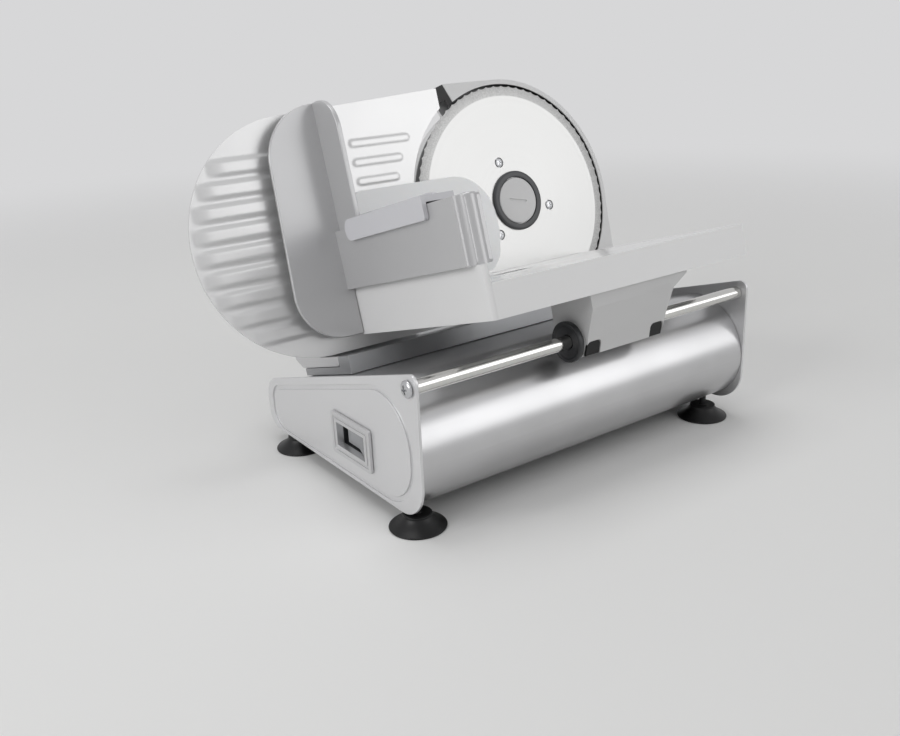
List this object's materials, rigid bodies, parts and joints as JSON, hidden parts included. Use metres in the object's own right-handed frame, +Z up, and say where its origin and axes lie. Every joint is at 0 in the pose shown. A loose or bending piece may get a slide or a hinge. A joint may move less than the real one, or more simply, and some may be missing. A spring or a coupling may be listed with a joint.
{
  "type": "food slicer",
  "caption": "Electric food slicer with a tilted serrated round blade, a sliding food carriage on a rod and a ribbed gauge plate.",
  "frame": {"origin": "on the ground under the middle of the whole slicer", "axes": "+X along the guide rod away from the switch end, +Y back from the rod to the blade, +Z up"},
  "size_m": [0.3822, 0.264, 0.2541],
  "materials": {
    "silver_paint": "satin silver paint with a soft sheen",
    "light_plastic": "smooth light grey moulding",
    "grey_plastic": "glossy grey moulding",
    "white_plastic": "white moulding",
    "dark_plastic": "dark fine-grained moulding",
    "rubber": "matt black rubber",
    "chrome": "polished chrome",
    "steel": "brushed stainless steel",
    "aluminium": "pressed sheet with a satin finish",
    "brass": "plain bearing bronze",
    "copper": "copper windings and segments",
    "carbon": "pressed carbon"
  },
  "bodies": {
    "base": {"base_shell": "silver_paint", "bottom_plate": "dark_plastic", "left_end_plate": "light_plastic", "right_end_plate": "light_plastic", "guide_rod": "chrome", "rod_screw_left": "steel", "rod_screw_right": "steel", "foot_front_left": "rubber", "foot_rear_left": "rubber", "foot_front_right": "rubber", "foot_rear_right": "rubber", "cord_gland": "rubber", "switch_bezel": "silver_paint", "switch_body": "dark_plastic", "drive_platform": "silver_paint", "blade_housing": "light_plastic", "motor_cover": "light_plastic", "cover_screw_1": "steel", "cover_screw_2": "steel", "cover_screw_3": "steel", "cover_screw_4": "steel", "bearing_front": "steel", "bearing_rear": "steel", "motor_field": "steel", "motor_bush_worm_end": "brass", "motor_bush_middle": "brass", "motor_bush_rear": "brass", "brush_front": "carbon", "brush_rear": "carbon", "gauge_tower": "silver_paint", "tower_cover": "dark_plastic"},
    "blade_unit": {"blade": "steel", "blade_screw_1": "steel", "blade_screw_2": "steel", "blade_screw_3": "steel", "hub_ring": "dark_plastic", "blade_carrier": "steel", "worm_wheel": "white_plastic"},
    "hub_lock_disc": {"hub_lock": "light_plastic"},
    "motor_rotor": {"worm_shaft": "steel", "armature_core": "copper", "commutator": "copper", "cooling_fan": "white_plastic"},
    "gauge": {"gauge_plate": "aluminium", "gauge_carrier": "dark_plastic", "gauge_rod_lower": "steel", "gauge_rod_upper": "steel"},
    "knob": {"thickness_knob": "dark_plastic", "cam_disc": "white_plastic"},
    "rocker": {"switch_rocker": "grey_plastic"},
    "carriage": {"carriage_tray": "light_plastic", "thumb_guard": "grey_plastic", "slide_bracket": "light_plastic", "slide_bush_left": "dark_plastic", "slide_bush_right": "dark_plastic", "bracket_insert_left": "rubber", "bracket_insert_right": "rubber"},
    "pusher": {"pusher_plate": "white_plastic", "pusher_hook": "grey_plastic"}
  },
  "joints": [
    {"name": "motor_spin", "type": "hinge", "parent": "base", "child": "motor_rotor", "pos_m": [0.12107, 0.08251, 0.11198], "axis": [1, 0, 0], "continuous": true},
    {"name": "blade_spin", "type": "hinge", "parent": "base", "child": "blade_unit", "pos_m": [0.09106, 0.05743, 0.1579], "axis": [0, 0.9595, -0.2817], "continuous": true},
    {"name": "hub_lock_turn", "type": "hinge", "parent": "blade_unit", "child": "hub_lock_disc", "pos_m": [0.09106, 0.05743, 0.1579], "axis": [0, 0.9595, -0.2817], "range_deg": [0, 90]},
    {"name": "knob_turn", "type": "hinge", "parent": "base", "child": "knob", "pos_m": [-0.14694, 0.0889, 0.10177], "axis": [1, 0, 0], "range_deg": [0, 300]},
    {"name": "gauge_slide", "type": "slide", "parent": "base", "child": "gauge", "axis": [0, 0.9595, -0.2817], "range_m": [0, 0.015]},
    {"name": "rocker_press", "type": "hinge", "parent": "base", "child": "rocker", "pos_m": [-0.12594, -0.0409, 0.0405], "axis": [0, 0, 1], "range_deg": [0, 20]},
    {"name": "carriage_slide", "type": "slide", "parent": "base", "child": "carriage", "axis": [1, 0, 0], "range_m": [-0.1, 0.058]},
    {"name": "pusher_slide", "type": "slide", "parent": "carriage", "child": "pusher", "axis": [0, 0.9595, -0.2817], "range_m": [-0.1, 0]}
  ],
  "couplings": [
    {"joint": "blade_spin", "follows": "motor_spin", "ratio": 0.020833},
    {"joint": "knob_turn", "follows": "gauge_slide", "rad_per_m": 349.07}
  ]
}
